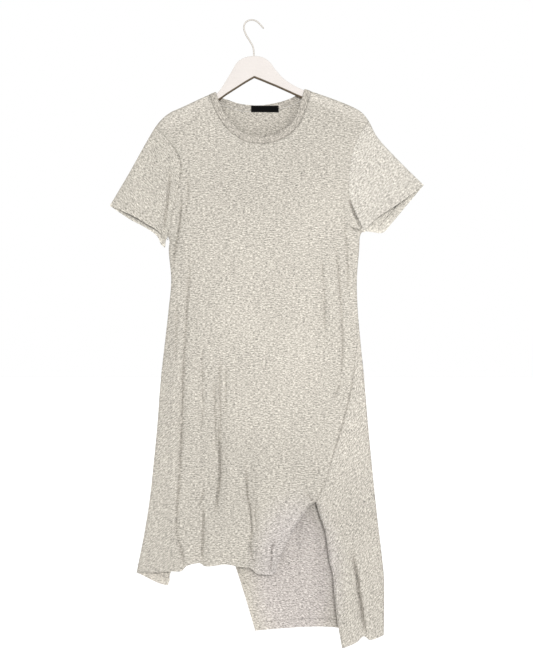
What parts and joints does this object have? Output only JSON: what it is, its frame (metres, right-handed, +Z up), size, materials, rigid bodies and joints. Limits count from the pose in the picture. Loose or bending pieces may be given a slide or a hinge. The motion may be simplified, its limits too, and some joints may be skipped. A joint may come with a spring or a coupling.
{
  "type": "t-shirt dress on a hanger",
  "caption": "Long short-sleeved jersey dress with a round neckband, a diagonal side panel and slit asymmetric hems, hanging flat on a wooden hanger with a wire hook.",
  "frame": {"origin": "highest point inside the hanger's hook, where a rail carries it", "axes": "+Z up, -Y towards the front of the dress, +X to the right of someone who looks at its front"},
  "size_m": [0.705, 0.0586, 1.4094],
  "materials": {
    "jersey": "heathered ecru jersey",
    "side_jersey": "heathered ecru jersey, cut on the bias",
    "back_jersey": "heathered ecru jersey",
    "sleeve_jersey": "heathered ecru jersey",
    "band_jersey": "heathered ecru jersey, doubled",
    "label": "woven black, blank",
    "painted_wood": "warm white satin paint",
    "steel_wire": "bright steel wire"
  },
  "bodies": {
    "root": {"front_main": "jersey", "front_side_panel": "side_jersey", "back_panel": "back_jersey", "sleeve_left": "sleeve_jersey", "sleeve_right": "sleeve_jersey", "neckband": "band_jersey", "neck_label": "label", "hanger_body": "painted_wood", "hanger_hook": "steel_wire"}
  },
  "joints": []
}
